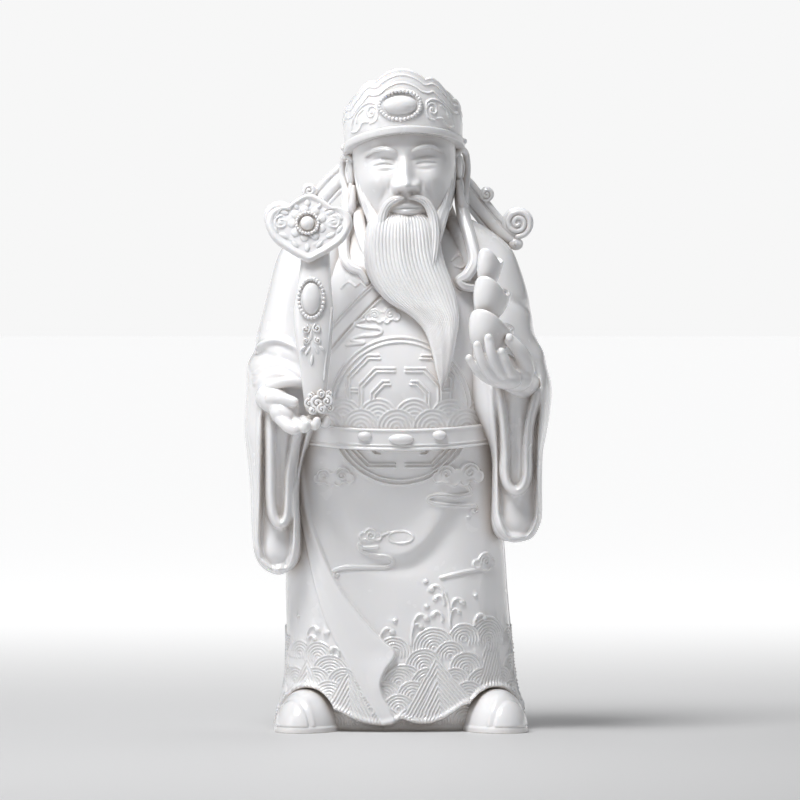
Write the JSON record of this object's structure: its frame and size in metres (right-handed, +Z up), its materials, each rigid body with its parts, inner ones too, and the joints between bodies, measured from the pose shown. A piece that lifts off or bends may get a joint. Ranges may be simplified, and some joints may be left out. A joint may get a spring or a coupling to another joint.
{
  "type": "wealth god figurine",
  "caption": "Standing robed wealth god in glazed white porcelain, with a ruyi sceptre in one hand and stacked ingots in the other, a scalloped hat, curled ribbons and a long beard.",
  "frame": {"origin": "centre of the figure's outline seen from above, at the level of its flat underside", "axes": "+Z up from the ground to the top of the hat, -Y is the way the figure faces, +X to the right of a person who looks at its front"},
  "size_m": [0.1768, 0.1308, 0.38],
  "materials": {
    "porcelain": null
  },
  "bodies": {
    "root": {"wealth_god_figure": "porcelain"}
  },
  "joints": []
}
